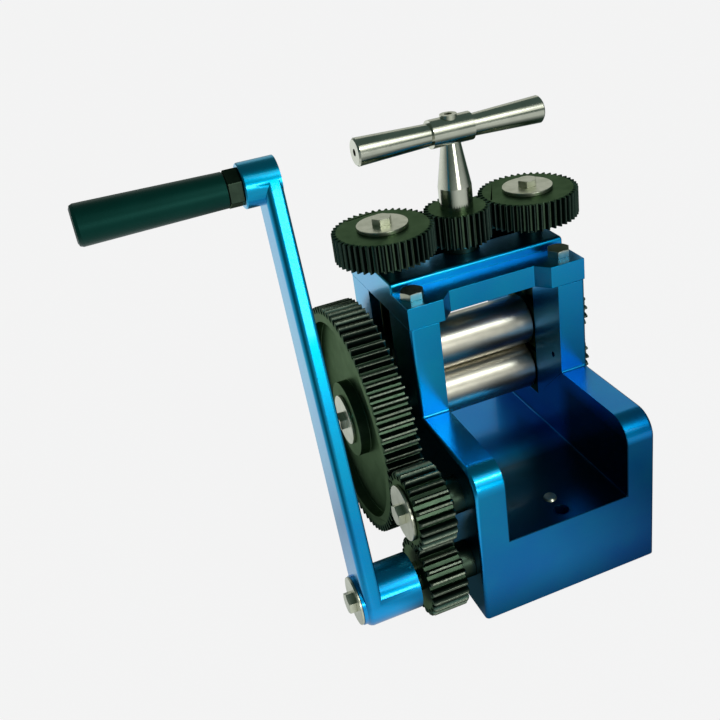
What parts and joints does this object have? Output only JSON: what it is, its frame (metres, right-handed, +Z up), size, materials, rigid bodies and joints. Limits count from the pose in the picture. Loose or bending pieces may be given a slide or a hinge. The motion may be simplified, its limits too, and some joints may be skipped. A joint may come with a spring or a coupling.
{
  "type": "jewellers rolling mill",
  "caption": "Hand-cranked bench rolling mill with a reduction gear train, two flat rolls in a cast frame and a geared tee-handle gap adjuster.",
  "frame": {"origin": "on the foot's plane, below the middle of the rolls", "axes": "+Z up, +X along the rolls towards the small roll gears, +Y to the back"},
  "size_m": [0.3088, 0.2015, 0.2831],
  "materials": {
    "frame_blue": "metallic blue enamel, glossy",
    "blackened_steel": "oil-blackened",
    "polished_roll": "ground and polished",
    "turned_steel": "fine turned",
    "bright_fastener": "bright zinc or nickel plate",
    "bronze": "machined",
    "grip_plastic": "satin black",
    "spring_steel": "oiled"
  },
  "bodies": {
    "frame": {"frame": "frame_blue", "bridge": "frame_blue", "bridge_bolts": "bright_fastener", "trough_screw": "bright_fastener", "left_lower_block": "blackened_steel", "right_lower_block": "blackened_steel", "left_lower_bush": "bronze", "right_lower_bush": "bronze", "lifting_springs": "spring_steel", "idler_axle": "blackened_steel", "idler_washer": "bright_fastener", "idler_bolt": "bright_fastener", "crank_bush": "bronze", "thrust_washer": "turned_steel", "adjuster_bush": "bronze"},
    "lower_roll": {"lower_roll": "polished_roll", "drive_gear": "blackened_steel", "drive_gear_spacer": "blackened_steel", "drive_gear_washer": "bright_fastener", "drive_gear_bolt": "bright_fastener", "lower_roll_gear": "blackened_steel", "lower_roll_washer": "bright_fastener", "lower_roll_bolt": "bright_fastener", "drive_key": "turned_steel", "lower_roll_key": "turned_steel"},
    "upper_blocks": {"left_upper_block": "blackened_steel", "right_upper_block": "blackened_steel", "left_upper_bush": "bronze", "right_upper_bush": "bronze"},
    "upper_roll": {"upper_roll": "polished_roll", "upper_roll_gear": "blackened_steel", "upper_roll_washer": "bright_fastener", "upper_roll_bolt": "bright_fastener", "upper_roll_key": "turned_steel"},
    "idler": {"idler_gear": "blackened_steel", "idler_bush": "bronze"},
    "crank": {"crank_shaft": "blackened_steel", "crank_pinion": "blackened_steel", "crank_arm": "frame_blue", "crank_washer": "bright_fastener", "crank_bolt": "bright_fastener", "grip_spindle": "turned_steel", "spindle_nut": "blackened_steel", "crank_key": "turned_steel"},
    "grip": {"grip": "grip_plastic"},
    "adjuster": {"adjuster_spindle": "turned_steel", "adjuster_gear": "blackened_steel", "spindle_ring": "turned_steel", "cross_rod": "turned_steel", "left_handle_bar": "turned_steel", "right_handle_bar": "turned_steel", "tee_screw": "bright_fastener"},
    "left_screw": {"left_screw": "blackened_steel", "left_screw_gear": "blackened_steel", "left_screw_washer": "bright_fastener", "left_screw_bolt": "bright_fastener"},
    "right_screw": {"right_screw": "blackened_steel", "right_screw_gear": "blackened_steel", "right_screw_washer": "bright_fastener", "right_screw_bolt": "bright_fastener"}
  },
  "joints": [
    {"name": "lower_roll_spin", "type": "hinge", "parent": "frame", "child": "lower_roll", "pos_m": [0, 0, 0.087], "axis": [1, 0, 0], "continuous": true},
    {"name": "crank_turn", "type": "hinge", "parent": "frame", "child": "crank", "pos_m": [-0.1, -0.1016, 0.03339], "axis": [1, 0, 0], "continuous": true},
    {"name": "idler_spin", "type": "hinge", "parent": "frame", "child": "idler", "pos_m": [-0.08, -0.09547, 0.07697], "axis": [1, 0, 0], "continuous": true},
    {"name": "grip_spin", "type": "hinge", "parent": "crank", "child": "grip", "pos_m": [-0.18, -0.04671, 0.27114], "axis": [1, 0, 0], "continuous": true},
    {"name": "adjuster_turn", "type": "hinge", "parent": "frame", "child": "adjuster", "pos_m": [0, 0, 0.2], "axis": [0, 0, 1], "range_deg": [-900, 120]},
    {"name": "roll_gap_slide", "type": "slide", "parent": "frame", "child": "upper_blocks", "axis": [0, 0, 1], "range_m": [-0.00032, 0.00242], "deforming": ["lifting_springs"]},
    {"name": "upper_roll_spin", "type": "hinge", "parent": "upper_blocks", "child": "upper_roll", "pos_m": [0, 0, 0.1214], "axis": [1, 0, 0], "continuous": true},
    {"name": "left_screw_turn", "type": "hinge", "parent": "upper_blocks", "child": "left_screw", "pos_m": [-0.04995, 0, 0.2], "axis": [0, 0, 1], "range_deg": [-77.43, 580.1]},
    {"name": "right_screw_turn", "type": "hinge", "parent": "upper_blocks", "child": "right_screw", "pos_m": [0.04995, 0, 0.2], "axis": [0, 0, 1], "range_deg": [-77.43, 580.1]}
  ],
  "couplings": [
    {"joint": "crank_turn", "follows": "lower_roll_spin", "ratio": 3.3636},
    {"joint": "idler_spin", "follows": "lower_roll_spin", "ratio": -3.3636},
    {"joint": "upper_roll_spin", "follows": "lower_roll_spin", "ratio": -1},
    {"joint": "roll_gap_slide", "follows": "adjuster_turn", "m_per_rad": -0.00015385},
    {"joint": "left_screw_turn", "follows": "adjuster_turn", "ratio": -0.64444},
    {"joint": "right_screw_turn", "follows": "adjuster_turn", "ratio": -0.64444}
  ]
}
